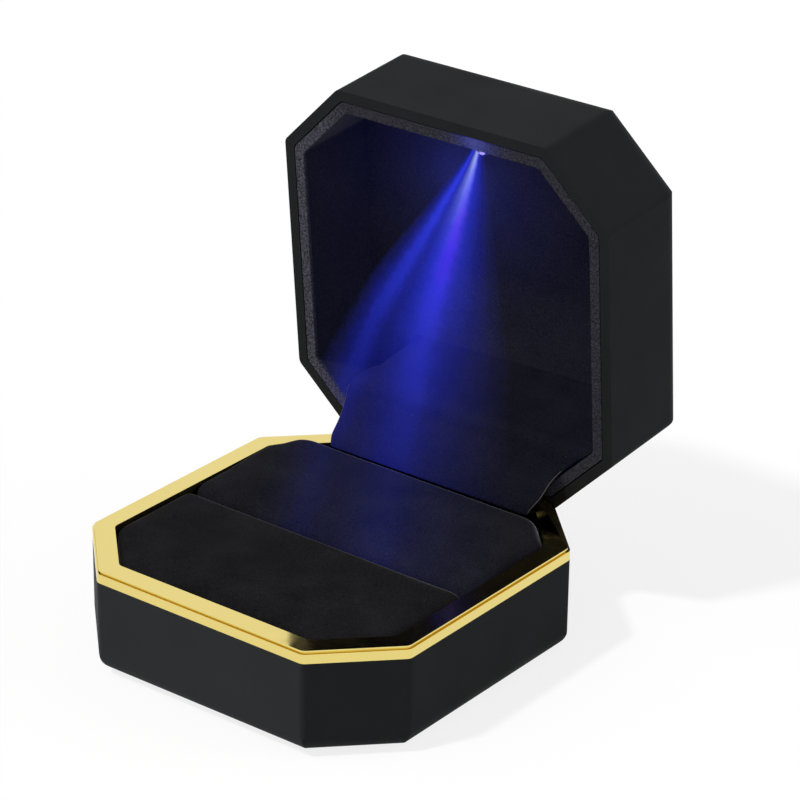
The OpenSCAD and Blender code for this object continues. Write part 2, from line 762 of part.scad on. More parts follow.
base_pad();
base_shell();
trim_frame();
insert_tray();
front_pad();
rear_pad();
hinge_base_leaf();
hinge_base_screws();
hinge_pin();
hinge_spring();
lid_shell();
lid_liner();
hinge_cover();
hinge_lid_leaf();
hinge_lid_screws();
battery_board();
coin_cells();
battery_clips();
resistor();
switch_body();
switch_spring();
switch_plunger();
lamp_housing();
lamp_board();
lamp();
lamp_wires();
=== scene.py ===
"""Looks of the ring display box: finishes, soft pads, the lit lamp, studio and camera.

Metres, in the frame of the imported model: X along the hinge, -Y to the front, Z up.
"""
import math

import bpy
import numpy as np
from mathutils import Euler, Matrix, Vector
from mathutils.geometry import convex_hull_2d

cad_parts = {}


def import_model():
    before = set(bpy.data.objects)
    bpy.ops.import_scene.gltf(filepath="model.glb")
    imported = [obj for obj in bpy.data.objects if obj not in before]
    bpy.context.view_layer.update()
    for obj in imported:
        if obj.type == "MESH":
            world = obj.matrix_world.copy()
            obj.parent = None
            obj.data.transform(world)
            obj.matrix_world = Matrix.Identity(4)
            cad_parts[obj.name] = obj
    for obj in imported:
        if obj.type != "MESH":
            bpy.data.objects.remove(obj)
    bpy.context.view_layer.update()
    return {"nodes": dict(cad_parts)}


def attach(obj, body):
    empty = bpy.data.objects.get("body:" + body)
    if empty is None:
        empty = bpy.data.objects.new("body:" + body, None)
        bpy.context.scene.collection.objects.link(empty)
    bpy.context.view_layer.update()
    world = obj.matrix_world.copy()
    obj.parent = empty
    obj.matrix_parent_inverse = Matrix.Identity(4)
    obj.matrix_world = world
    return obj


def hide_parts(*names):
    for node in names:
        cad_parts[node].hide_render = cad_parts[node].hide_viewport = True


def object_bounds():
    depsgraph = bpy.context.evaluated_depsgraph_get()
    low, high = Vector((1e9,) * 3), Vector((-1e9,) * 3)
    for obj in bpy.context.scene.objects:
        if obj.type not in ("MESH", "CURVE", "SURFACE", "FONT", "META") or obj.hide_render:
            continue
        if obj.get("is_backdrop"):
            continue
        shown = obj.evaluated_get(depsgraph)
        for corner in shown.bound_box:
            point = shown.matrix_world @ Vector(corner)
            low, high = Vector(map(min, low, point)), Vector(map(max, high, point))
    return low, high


MM = 0.001
FOCAL_LENGTH = 157.3
SENSOR = 36.0
CAMERA_AT = (313.2 * MM, -387.9 * MM, 275.7 * MM)
CAMERA_AZIMUTH = math.radians(37.15)
CAMERA_ELEVATION = math.radians(25.20)
CAMERA_ROLL = math.radians(0.92)
CAMERA_SHIFT = (-0.0352, 0.0130)

OPEN_ANGLE = math.radians(85)
HINGE_Y = 31.75
HINGE_Z = 18.0


def linear(level):
    """Linear value of an sRGB level from 0 to 255."""
    c = level / 255
    return c / 12.92 if c <= 0.04045 else ((c + 0.055) / 1.055) ** 2.4


def colour(red, green, blue):
    return (linear(red), linear(green), linear(blue), 1)


# ---------- Node helpers ----------

class Finish:
    """A material with its principled shader and short calls for the nodes it needs.

    place is the point in metres, which is the same for every node: none of them is moved.
    """

    def __init__(self, name, base, roughness, **settings):
        self.material = bpy.data.materials.new(name)
        self.material.use_nodes = True
        self.tree = self.material.node_tree
        self.shader = self.tree.nodes["Principled BSDF"]
        self.shader.inputs["Base Color"].default_value = base
        self.shader.inputs["Roughness"].default_value = roughness
        for key, value in settings.items():
            self.shader.inputs[key.replace("_", " ")].default_value = value
        self.place = self.node("ShaderNodeTexCoord").outputs["Object"]

    def node(self, kind, **settings):
        made = self.tree.nodes.new(kind)
        for key, value in settings.items():
            setattr(made, key, value)
        return made

    def link(self, source, target):
        if hasattr(source, "is_linked"):
            self.tree.links.new(source, target)
        else:
            target.default_value = source

    def math(self, operation, first, second=0.0, third=0.0):
        made = self.node("ShaderNodeMath", operation=operation)
        for value, socket in zip((first, second, third), made.inputs):
            self.link(value, socket)
        return made.outputs[0]

    def dot(self, vector, constant):
        made = self.node("ShaderNodeVectorMath", operation="DOT_PRODUCT")
        self.link(vector, made.inputs[0])
        made.inputs[1].default_value = constant
        return made.outputs["Value"]

    def offset(self, vector, constant):
        made = self.node("ShaderNodeVectorMath", operation="SUBTRACT")
        self.link(vector, made.inputs[0])
        made.inputs[1].default_value = constant
        return made.outputs[0]

    def noise(self, size, detail=2.0):
        """Noise from 0 to 1 with features of about the given size in metres."""
        made = self.node("ShaderNodeTexNoise")
        made.inputs["Scale"].default_value = 1 / size
        made.inputs["Detail"].default_value = detail
        self.link(self.place, made.inputs["Vector"])
        return made.outputs["Fac"]

    def spread(self, value, low, high, to_low=0.0, to_high=1.0, smooth=False):
        """Maps low..high to to_low..to_high, and holds the ends beyond."""
        made = self.node("ShaderNodeMapRange")
        made.interpolation_type = "SMOOTHSTEP" if smooth else "LINEAR"
        for number, source in enumerate((value, low, high, to_low, to_high)):
            self.link(source, made.inputs[number])
        return made.outputs[0]

    def ramp(self, value, stops):
        """A value read off straight lines through (position, level) stops."""
        made = self.node("ShaderNodeValToRGB")
        band = made.color_ramp
        while len(band.elements) < len(stops):
            band.elements.new(0.5)
        for element, (position, level) in zip(band.elements, stops):
            element.position = position
            element.color = (level, level, level, 1)
        self.link(value, made.inputs[0])
        return made.outputs[0]

    def blend(self, factor, first, second):
        made = self.node("ShaderNodeMix", data_type="RGBA")
        self.link(factor, made.inputs["Factor"])
        self.link(first, made.inputs["A"])
        self.link(second, made.inputs["B"])
        return made.outputs["Result"]

    def set(self, socket, value):
        self.link(value, self.shader.inputs[socket])

    def bump(self, height, depth, strength=1.0):
        made = self.node("ShaderNodeBump")
        made.inputs["Strength"].default_value = strength
        made.inputs["Distance"].default_value = depth
        self.link(height, made.inputs["Height"])
        self.set("Normal", made.outputs[0])

    def specks(self, size, share, radius=0.16):
        """Round spots: 1 at the middle of a share of the cells, else 0."""
        made = self.node("ShaderNodeTexVoronoi")
        made.inputs["Scale"].default_value = 1 / size
        self.link(self.place, made.inputs["Vector"])
        near = self.spread(made.outputs["Distance"], 0.7 * radius, 1.3 * radius, 1, 0, smooth=True)
        part = self.node("ShaderNodeSeparateColor")
        self.link(made.outputs["Color"], part.inputs[0])
        chosen = self.math("LESS_THAN", part.outputs[0], share)
        return self.math("MULTIPLY", near, chosen)


# ---------- Finishes ----------

def shell_finish():
    """Soft-touch black paint: very matt, finely grained, with faint handling marks."""
    f = Finish("soft_black", colour(28, 29, 30), 0.62)
    f.shader.inputs["Specular IOR Level"].default_value = 0.03
    tone = f.blend(f.noise(11 * MM, 4), colour(27, 28, 29), colour(33, 34, 35))
    nicks = f.specks(6 * MM, 0.05, 0.03)
    f.set("Base Color", f.blend(nicks, tone, colour(8, 8, 8)))
    f.set("Roughness", f.spread(f.noise(14 * MM, 5), 0.3, 0.7, 0.56, 0.68))
    f.bump(f.noise(0.22 * MM, 3), 0.02 * MM, 0.35)
    return f.material


def gold_finish():
    """Gold plating, with slight waves and smears in its polish."""
    f = Finish("polished_gold", colour(231, 213, 133), 0.08, Metallic=1.0)
    tone = f.blend(f.noise(20 * MM, 2), colour(233, 214, 132), colour(227, 207, 124))
    f.set("Base Color", tone)
    f.set("Roughness", f.spread(f.noise(3 * MM, 6), 0.35, 0.75, 0.05, 0.14))
    f.bump(f.noise(5 * MM, 1), 0.02 * MM, 0.25)
    return f.material


TUFT_SHARE = 0.65


def pile(f, dark, light, grain, nap):
    """Colour of a pile: fine tufts over broad stroked patches."""
    tufts = f.noise(grain, 3)
    broad = f.noise(nap, 3)
    mixed = f.math("ADD", f.math("MULTIPLY", tufts, TUFT_SHARE),
                   f.math("MULTIPLY", broad, 1 - TUFT_SHARE))
    f.bump(tufts, 0.12 * MM, 0.5)
    return f.blend(f.spread(mixed, 0.34, 0.66), dark, light)


def velvet_finish(name, dark, light, glow=0.0, lip_highlights=False):
    """Short, dense velvet with a little lint; on pads, edges that face the rear get a painted
    highlight and more of the painted lamp light.
    """
    f = Finish(name, dark, 0.95)
    f.shader.inputs["Specular IOR Level"].default_value = 0.05
    f.shader.inputs["Sheen Weight"].default_value = 0.30
    f.shader.inputs["Sheen Roughness"].default_value = 0.18
    tone = pile(f, dark, light, 0.26 * MM, 7 * MM)
    share = 1.0
    if lip_highlights:
        # Painted highlight: edges that face the rear are lighter and take more painted lamp light
        back = f.dot(f.node("ShaderNodeNewGeometry").outputs["Normal"], Vector((0, 1, 0)))
        lip_highlight = f.spread(back, 0.15, 0.60, smooth=True)
        tone = f.blend(f.math("MULTIPLY", lip_highlight, 0.8), tone, colour(66, 65, 70))
        share = f.spread(lip_highlight, 0, 1, 1, 2.2)
    f.set("Base Color", f.blend(f.specks(0.6 * MM, 0.012), tone, colour(52, 51, 55)))
    # Painted light of the lamp, as emission
    if glow:
        paint_lamp_light(f, glow, share)
    return f.material


def flock_finish():
    """Coarser flock inside the lid, paler along the rim and paler still towards the rim's left
    end.
    """
    dark, light = colour(7, 7, 9), colour(27, 26, 30)
    f = Finish("lining_flock", dark, 1.0)
    f.shader.inputs["Specular IOR Level"].default_value = 0.05
    f.shader.inputs["Sheen Weight"].default_value = 0.04
    tone = pile(f, dark, light, 0.34 * MM, 12 * MM)
    tone = f.blend(f.specks(0.5 * MM, 0.16), tone, colour(38, 36, 42))
    depth = f.dot(f.offset(f.place, Vector((0, HINGE_Y, HINGE_Z)) * MM), LID_DEEP)
    rim = f.spread(depth, 1.0 * MM, 1.9 * MM, 1, 0, smooth=True)
    # The rim's colour grows lighter from x = -19 mm to x = -25 mm, towards its left end
    pale = f.blend(f.spread(f.dot(f.place, Vector((1, 0, 0))), -25 * MM, -19 * MM, 1, 0),
                   colour(45, 44, 50), colour(70, 69, 78))
    rim_mottle = f.spread(f.noise(0.3 * MM, 2), 0.35, 0.65)
    rim_tone = f.blend(rim_mottle, colour(17, 17, 20), pale)
    f.set("Base Color", f.blend(rim, tone, rim_tone))
    # Painted lamp light, weaker on the rim, with a painted spot of it on the rim near the lens
    paint_lamp_light(f, 1.0, f.spread(rim, 0, 1, 1, 0.35), spill=True)
    return f.material


MOTTLE = 0.88


def plain_finish(name, base, roughness, grain=0.5 * MM, depth=0.01 * MM, **settings):
    """A finely grained, slightly mottled surface of one colour."""
    f = Finish(name, base, roughness, **settings)
    darker = tuple(MOTTLE * c for c in base[:3]) + (1,)
    f.set("Base Color", f.blend(f.noise(4 * MM, 3), darker, base))
    f.bump(f.noise(grain, 3), depth, 0.4)
    return f.material


# ---------- The lamp's light, painted as emission ---

# The middle of the lens, the ways down and into the open lid, and where the painted light spreads
LENS = Vector((0, 38.5, 72.6)) * MM
LID_DOWN = Vector((0, math.cos(OPEN_ANGLE), -math.sin(OPEN_ANGLE)))
LID_DEEP = Vector((0, math.sin(OPEN_ANGLE), math.cos(OPEN_ANGLE)))
HALO = LENS + (Vector((-9, 0, 0)) + 9 * LID_DOWN + 6.7 * LID_DEEP) * MM
RIM_SPOT = LENS + (Vector((7, 0, 0)) - 8 * LID_DOWN - 10.5 * LID_DEEP) * MM
BLUE = (0.030, 0.050, 1.0, 1)
VIOLET = (0.074, 0.030, 1.0, 1)
PALE_BLUE = (0.40, 0.48, 1.0, 1)
# How the fan leans: across and along its middle plane, and its edges as slopes
FAN_ACROSS = Vector((1, 0, 0)) + 0.692 * LID_DEEP
FAN_ALONG = LID_DOWN - 0.165 * LID_DEEP
FAN_LEFT, FAN_RIGHT = -0.95, 0.15
FAN_START = 2.2 * MM
# Share of the painted lamp light that glossy rays see
MIRRORED_SHARE = 0.15


def paint_lamp_light(f, level, share=1.0, spill=False):
    """Paints the lamp's light into a finish as emission: a fan of two bands and a bright core, and
    a halo.

    The fan is made of planes from the lens, a little apart where they leave it, so it runs
    on unbroken from the lining over the hinge cover to the rear pad. fan is 0 at its left
    edge and 1 at its right.
    """
    ray = f.offset(f.place, LENS)
    across = f.dot(ray, FAN_ACROSS)
    along = f.dot(ray, FAN_ALONG)
    past = f.math("MAXIMUM", along, 0.0)
    down = f.math("SQRT", f.math("MULTIPLY_ADD", past, past, FAN_START ** 2))
    slope = f.math("DIVIDE", across, down)
    ripple = f.math("MULTIPLY", f.math("SUBTRACT", f.noise(1.6 * MM, 3), 0.5), 0.05)
    fan = f.spread(f.math("ADD", slope, ripple), FAN_LEFT, FAN_RIGHT)
    far = f.spread(down, 2 * MM, 75 * MM)

    left = f.ramp(fan, [
        (0.12, 0.0), (0.19, 0.20), (0.235, 0.47), (0.27, 0.88), (0.305, 1.0), (0.345, 0.70),
        (0.39, 0.35), (0.46, 0.0)])
    left_reach = f.ramp(far, [
        (0.0, 0.62), (0.15, 0.62), (0.23, 0.59), (0.30, 0.51), (0.43, 0.40), (0.56, 0.23),
        (0.65, 0.14), (0.85, 0.0)])
    middle = f.ramp(fan, [
        (0.36, 0.0), (0.39, 0.15), (0.43, 0.42), (0.47, 0.72), (0.51, 0.93), (0.55, 1.0),
        (0.575, 0.92), (0.615, 0.62), (0.66, 0.42), (0.71, 0.31), (0.76, 0.20), (0.81, 0.13),
        (0.87, 0.055), (0.96, 0.0)])
    reach = f.ramp(far, [
        (0.0, 0.86), (0.14, 0.80), (0.28, 0.78), (0.39, 0.67), (0.52, 0.47), (0.62, 0.215),
        (0.80, 0.07), (1.0, 0.0)])
    bands = f.math("ADD", f.math("MULTIPLY", left, left_reach),
                   f.math("MULTIPLY", middle, reach))
    below = f.spread(along, -0.2 * MM, 1.6 * MM, smooth=True)
    fan_light = f.math("MULTIPLY", bands, below)

    halo = radial(f, HALO, 45, [
        (0.0, 0.12), (0.09, 0.09), (0.16, 0.055), (0.25, 0.032), (0.35, 0.019), (0.45, 0.012),
        (0.56, 0.007), (0.80, 0.005), (1.0, 0.004)])
    mirrored = f.node("ShaderNodeLightPath").outputs["Is Glossy Ray"]
    strength = f.spread(mirrored, 0, 1, level, MIRRORED_SHARE * level)
    light = f.math("MULTIPLY", f.math("ADD", fan_light, halo), strength)
    light = f.math("MULTIPLY", light, share)

    core = f.ramp(fan, [(0.36, 0.0), (0.44, 0.7), (0.50, 1.0), (0.56, 0.6), (0.64, 0.0)])
    core_reach = f.ramp(far, [
        (0.0, 1.0), (0.03, 1.0), (0.07, 0.55), (0.14, 0.25), (0.22, 0.06), (0.30, 0.0)])
    pale = f.math("MULTIPLY", f.math("MULTIPLY", core, core_reach), below)
    pale = f.math("MAXIMUM", pale, f.spread(fan_light, 0.0, 0.1, 0.12, 0.0))
    warm = f.ramp(fan, [(0.46, 0.0), (0.54, 1.0), (0.60, 0.6), (0.65, 0.0)])
    warm_reach = f.ramp(far, [
        (0.08, 0.3), (0.18, 1.0), (0.30, 0.85), (0.40, 0.30), (0.60, 0.0)])
    tint = f.blend(f.math("MULTIPLY", warm, warm_reach), BLUE, VIOLET)
    # Spill: a painted spot of the lamp's light on the lining's rim near the lens
    if spill:
        on_rim = radial(f, RIM_SPOT, 8, [
            (0.0, 0.22), (0.2, 0.17), (0.4, 0.07), (0.65, 0.02), (1.0, 0.0)])
        light = f.math("ADD", light, on_rim)
        pale = f.math("MAXIMUM", pale, f.math("MULTIPLY", on_rim, 1.3))
    f.set("Emission Color", f.blend(pale, tint, PALE_BLUE))
    f.set("Emission Strength", light)


def radial(f, centre, radius, stops):
    """A value that falls off with the distance from a point, up to a radius in mm."""
    gap = f.node("ShaderNodeVectorMath", operation="LENGTH")
    f.link(f.offset(f.place, centre), gap.inputs[0])
    return f.ramp(f.spread(gap.outputs["Value"], 0, radius * MM), stops)


STRIP_SIDEWAYS = Vector((0.302, 0, 0)) + 0.953 * LID_DEEP


def lens_finish():
    """Dark blue, with the lit strip of the lamp slanting across."""
    f = Finish("lamp_lens", (0.02, 0.02, 0.06, 1), 0.3)
    off_strip = f.dot(f.offset(f.place, LENS), STRIP_SIDEWAYS)
    strip = f.spread(f.math("ABSOLUTE", off_strip), 0.15 * MM, 0.45 * MM, 1, 0, smooth=True)
    f.set("Emission Color", f.blend(strip, (0.04, 0.05, 0.60, 1), (0.36, 0.32, 0.95, 1)))
    f.set("Emission Strength", f.spread(strip, 0, 1, 0.35, 1.15))
    return f.material


# ---------- Pieces ----------

def give(frame, nodes, material):
    for name in nodes:
        slots = frame["nodes"][name].data.materials
        slots.clear()
        slots.append(material)


def smooth(mesh):
    mesh.polygons.foreach_set("use_smooth", [True] * len(mesh.polygons))


# Upper edge of each pad at its front and rear, how it leans to the right, and the radius
# of its rolled edge at the left, right, front and rear, in mm
PADS = {
    "front_pad": (18.75, 18.85, -0.004, (1.0, 1.8, 1.6, 1.0)),
    "rear_pad": (18.85, 19.95, -0.006, (0.9, 1.8, 2.2, 1.5)),
}
CROWN = 0.4
CROWN_REACH = 8.0
# The rear pad's left rear corner stands up
HIGH_CORNER = Vector((-24.4, 22.2))
HIGH_CORNER_RISE = 0.65
HIGH_CORNER_REACH = 2.0
CORNER_SHARPNESS = 3.2
OUTLINE_STEP = 0.7
# A pad's middle line stops short of its ends by this share of half its depth
MIDDLE_LINE_SHORT = 0.9
# How far in from the outline each ring of points lies
RINGS = (0, 0.03, 0.12, 0.27, 0.48, 0.74, 1.05, 1.4, 1.8, 2.3, 3.0, 4.0, 5.5, 7.5, 9.8, 11.8)


def plan_outline(mesh):
    """The outline of a solid seen from above, in mm, anticlockwise."""
    points = [v.co.to_2d() / MM for v in mesh.vertices]
    return [points[i] for i in convex_hull_2d(points)]


def long_sides(outline):
    """A point and the inward normal of each long side."""
    sides = []
    for first, second in zip(outline, outline[1:] + outline[:1]):
        along = second - first
        if along.length > 4:
            along.normalize()
            sides.append((first, Vector((-along.y, along.x))))
    return sides


def pad_height(place, sides, rolls, edge_z):
    """Height at a place of a pad whose edges are rolled, with soft corners and a low crown."""
    weights = [math.exp(-CORNER_SHARPNESS * (place - start).dot(inward) / roll)
               for (start, inward), roll in zip(sides, rolls)]
    roll = sum(w * r for w, r in zip(weights, rolls)) / sum(weights)
    turn = min(1.0, max(0.0, -math.log(sum(weights)) / CORNER_SHARPNESS))
    inner = min((place - start).dot(inward) for start, inward in sides)
    inside = min(1.0, max(0.0, (inner - roll) / CROWN_REACH))
    crown = CROWN * math.sin(math.pi / 2 * inside)
    return edge_z + roll * (math.sqrt(1 - (1 - turn) ** 2) - 1) + crown


def pad_form(name, mesh):
    """The pad as rings from its outline to its middle line, over the solid's outline."""
    front_z, rear_z, lean, (left, right, front, rear) = PADS[name]
    outline = plan_outline(mesh)
    sides = long_sides(outline)
    rolls = [inward.x ** 2 * (left if inward.x > 0 else right)
             + inward.y ** 2 * (front if inward.y > 0 else rear) for _, inward in sides]
    low_x, high_x = min(p.x for p in outline), max(p.x for p in outline)
    low_y, high_y = min(p.y for p in outline), max(p.y for p in outline)
    foot_z = min(v.co.z for v in mesh.vertices) / MM
    around = []
    for first, second in zip(outline, outline[1:] + outline[:1]):
        steps = max(1, round((second - first).length / OUTLINE_STEP))
        around += [first.lerp(second, i / steps) for i in range(steps)]
    half_line = (high_x - low_x) / 2 - MIDDLE_LINE_SHORT * (high_y - low_y) / 2
    middle_x, middle_y = (low_x + high_x) / 2, (low_y + high_y) / 2

    rings = [[Vector((p.x, p.y, foot_z)) for p in around]]
    for distance in RINGS:
        ring = []
        for p in around:
            goal_x = max(middle_x - half_line, min(middle_x + half_line, p.x))
            goal = Vector((goal_x, middle_y))
            place = p.lerp(goal, min(0.98, distance / (goal - p).length))
            to_rear = (place.y - low_y) / (high_y - low_y)
            edge_z = front_z + (rear_z - front_z) * to_rear + lean * place.x
            if name == "rear_pad":
                gap = (place - HIGH_CORNER).length / HIGH_CORNER_REACH
                edge_z += HIGH_CORNER_RISE * math.exp(-gap ** 2)
            ring.append(Vector((place.x, place.y, pad_height(place, sides, rolls, edge_z))))
        rings.append(ring)
    count = len(around)
    faces = []
    for i in range(len(rings) - 1):
        near, far = i * count, (i + 1) * count
        for j in range(count):
            after = (j + 1) % count
            faces.append((near + j, near + after, far + after, far + j))
    faces.append(tuple(range(count))[::-1])
    faces.append(tuple(range((len(rings) - 1) * count, len(rings) * count)))
    form = bpy.data.meshes.new(name + "_form")
    form.from_pydata([point * MM for ring in rings for point in ring], [], faces)
    return form


# The cloth is simulated at ten times the size; lengths are the real ones
SIM_SCALE = 10
DRAWN_IN = 0.1 * MM
VOXEL = 0.6 * MM
SIDE_CAP = 0.08 * MM
TOP_CAP = 0.2 * MM
PRESSURE = 4
LAST_FRAME = 20
HELD_SHARE = 0.35
EVEN_ROUNDS = 24


def cushion(frame, node, material):
    """A foam pad under velvet: its form, drawn in and swollen back by cloth."""
    piece = new_piece(node + "_velvet", pad_form(node, frame["nodes"][node].data), material)
    piece.data.transform(Matrix.Scale(SIM_SCALE, 4))
    draw_in(piece, DRAWN_IN * SIM_SCALE)
    remesh = piece.modifiers.new("remesh", "REMESH")
    remesh.mode = "VOXEL"
    remesh.voxel_size = VOXEL * SIM_SCALE
    apply_modifiers(piece)
    swell(piece, SIDE_CAP * SIM_SCALE, TOP_CAP * SIM_SCALE)
    piece.data.transform(Matrix.Scale(1 / SIM_SCALE, 4))
    even = piece.modifiers.new("even", "SMOOTH")
    even.factor = 0.5
    even.iterations = 2
    piece.modifiers.new("subdivision", "SUBSURF").levels = 1
    apply_modifiers(piece)
    piece.data.materials.clear()
    piece.data.materials.append(material)
    smooth(piece.data)
    return piece


def new_piece(name, mesh, material):
    piece = bpy.data.objects.new(name, mesh)
    bpy.context.scene.collection.objects.link(piece)
    mesh.materials.clear()
    mesh.materials.append(material)
    return piece


def extent(mesh):
    return [Vector(pick(v.co[i] for v in mesh.vertices) for i in range(3)) for pick in (min, max)]


def draw_in(piece, distance):
    """Moves the sides and the top in, so that the swelling ends at the solid's own size."""
    low, high = extent(piece.data)
    middle, half = (low + high) / 2, (high - low) / 2
    for vertex in piece.data.vertices:
        for axis in range(2):
            vertex.co[axis] -= distance * (vertex.co[axis] - middle[axis]) / half[axis]
        vertex.co.z -= 2 * distance * (vertex.co.z - low.z) / (high.z - low.z)


def swell(piece, side_cap, top_cap):
    """Cloth under pressure, held at its foot, with the travel of each point capped and evened."""
    mesh = piece.data
    start = points_of(mesh)
    low, high = start[:, 2].min(), start[:, 2].max()
    held = piece.vertex_groups.new(name="held")
    foot = np.flatnonzero(start[:, 2] < low + HELD_SHARE * (high - low))
    held.add(foot.tolist(), 1.0, "REPLACE")
    cloth = piece.modifiers.new("cloth", "CLOTH")
    cloth.settings.use_pressure = True
    cloth.settings.uniform_pressure_force = PRESSURE
    cloth.settings.effector_weights.gravity = 0
    cloth.settings.vertex_group_mass = "held"
    for number in range(1, LAST_FRAME + 1):
        bpy.context.scene.frame_set(number)
    graph = bpy.context.evaluated_depsgraph_get()
    travel = points_of(piece.evaluated_get(graph).data) - start
    piece.modifiers.remove(cloth)
    bpy.context.scene.frame_set(1)
    flat = np.linalg.norm(travel[:, :2], axis=1)
    travel[:, :2] *= np.minimum(1, side_cap / np.maximum(flat, 1e-9))[:, None]
    travel[:, 2] = np.clip(travel[:, 2], -side_cap, top_cap)
    edges = np.empty(2 * len(mesh.edges), np.int32)
    mesh.edges.foreach_get("vertices", edges)
    first, second = edges[::2], edges[1::2]
    shares = np.bincount(edges, minlength=len(start))[:, None]
    for _ in range(EVEN_ROUNDS):
        total = np.zeros_like(travel)
        np.add.at(total, first, travel[second])
        np.add.at(total, second, travel[first])
        travel = (travel + total / shares) / 2
    mesh.vertices.foreach_set("co", (start + travel).ravel())


def points_of(mesh):
    """The mesh's points as rows of an array."""
    places = np.empty(3 * len(mesh.vertices), np.float32)
    mesh.vertices.foreach_get("co", places)
    return places.reshape(-1, 3).astype(np.float64)


def apply_modifiers(piece):
    graph = bpy.context.evaluated_depsgraph_get()
    made = bpy.data.meshes.new_from_object(piece.evaluated_get(graph))
    piece.modifiers.clear()
    piece.data = made


# ---------- Hinge cover ----------

# The flap from its hidden end up to its seam, in mm with the lid closed: depth, height,
# and how far it reaches to the left and to the right
FLAP = [
    (30.3, 11.6, 20.6, 20.6), (29.4, 11.85, 20.6, 20.8), (28.4, 12.4, 20.9, 21.4),
    (27.2, 13.4, 20.7, 22.2), (26.1, 14.7, 20.8, 22.3), (25.5, 16.3, 21.4, 22.2),
    (25.25, 17.7, 22.1, 22.2),
    (25.1, 18.8, 22.8, 22.2), (24.7, 19.6, 23.1, 22.5), (23.9, 20.2, 23.4, 23.6),
    (22.9, 20.5, 23.0, 24.6), (22.0, 21.0, 22.4, 25.5), (21.4, 21.9, 21.8, 26.1),
    (21.15, 23.0, 21.5, 26.4), (21.15, 23.9, 21.4, 26.5), (21.35, 24.8, 21.4, 26.5),
    (21.75, 25.6, 21.4, 26.5)]
FLAP_COLUMNS = 48
FLAP_WAVE = 0.10
# The rows from this one on slant down to the right, more and more up to the seam
SLANT_FROM = 10
SEAM_SLANT = 1.0
# The face behind the seam: where it stands at FACE_FOOT, how much it leans over FACE_RISE at
# its left and right end, and the cheek's distances from the left end and how far it turns back
FACE_LEFT = -21.2
FACE_RIGHT = 26.4
FACE_COLUMNS = 30
FACE_Y = 21.45
FACE_FOOT = 22
FACE_RISE = 14
LEAN_LEFT, LEAN_RIGHT = 0.7, 2.6
CHEEK = [(-0.1, 5.0), (-0.1, 2.5), (0.0, 0.8), (0.3, 0.2), (0.8, 0.0)]
FACE_HEIGHTS = (22.6, 23.2, 24.2, 25.8, 28.5, 31.5, 34.0, 35.2, 35.7, 36.0, 36.12)
# The face curves out into the lining from this height on, by this much at its top
FILLET_FROM = 35.2
FILLET = 1.0


def opened(x, y, z):
    """Place in the open lid, in metres, of a point given in mm with the lid closed."""
    turn = Matrix.Rotation(-OPEN_ANGLE, 3, "X")
    hinge = Vector((0, HINGE_Y, HINGE_Z))
    return (turn @ (Vector((x, y, z)) - hinge) + hinge) * MM


def grid_mesh(name, rows):
    """A sheet through rows of points, all rows with the same number of points."""
    count = len(rows[0])
    faces = [(i * count + j, i * count + j + 1, (i + 1) * count + j + 1, (i + 1) * count + j)
             for i in range(len(rows) - 1) for j in range(count - 1)]
    mesh = bpy.data.meshes.new(name)
    mesh.from_pydata([point for row in rows for point in row], [], faces)
    return mesh


def flap_rows():
    rows = []
    last = len(FLAP) - 1
    for index, (y, z, left, right) in enumerate(FLAP):
        row = []
        for step in range(FLAP_COLUMNS + 1):
            side = 2 * step / FLAP_COLUMNS - 1
            x = -left + (left + right) * step / FLAP_COLUMNS
            slant = SEAM_SLANT * side * max(0, index - SLANT_FROM) / (last - SLANT_FROM)
            wave = FLAP_WAVE * math.sin(0.33 * x + 0.5 * index) * math.sin(math.pi * index / last)
            row.append(opened(x, y + wave, z - slant))
        rows.append(row)
    return rows


def face_rows():
    columns = [(FACE_LEFT + x, back) for x, back in CHEEK]
    start = columns[-1][0]
    columns += [(start + (FACE_RIGHT - start) * (i + 1) / FACE_COLUMNS, 0)
                for i in range(FACE_COLUMNS)]
    rows = []
    for z in FACE_HEIGHTS:
        row = []
        for x, back in columns:
            to_right = (x - FACE_LEFT) / (FACE_RIGHT - FACE_LEFT)
            lean = LEAN_LEFT + (LEAN_RIGHT - LEAN_LEFT) * to_right
            lean *= (z - FACE_FOOT) / FACE_RISE
            to_top = (z - FILLET_FROM) / (FACE_HEIGHTS[-1] - FILLET_FROM)
            fillet = FILLET * max(0.0, to_top) ** 2
            row.append(opened(x, FACE_Y - lean - fillet + back, z))
        rows.append(row)
    return rows


def sheet_piece(name, rows, thickness, material, edge):
    """A velvet sheet whose cut edges show at its two sides."""
    piece = new_piece(name, grid_mesh(name, rows), material)
    piece.data.materials.append(edge)
    solid = piece.modifiers.new("thickness", "SOLIDIFY")
    solid.thickness = thickness
    solid.offset = -1
    solid.material_offset_rim = 1
    piece.modifiers.new("subdivision", "SUBSURF").levels = 2
    apply_modifiers(piece)
    for face in piece.data.polygons:
        if face.material_index and abs(face.normal.x) < 0.5:
            face.material_index = 0
    smooth(piece.data)
    return piece


def hinge_cover(velvet, edge):
    flap = sheet_piece("hinge_flap_velvet", flap_rows(), 0.35 * MM, velvet, edge)
    face = sheet_piece("hinge_face_velvet", face_rows(), 0.5 * MM, velvet, edge)
    for piece in (flap, face):
        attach(piece, "lid")
    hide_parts("hinge_cover")
    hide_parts("hinge_cover")


# ---------- Studio ----------

FLOOR_WHITE_SHARE = 0.82
FLOOR_HALF = 3.0
FLOOR_DROP = 0.02 * MM
WORLD_LEVEL = 0.29


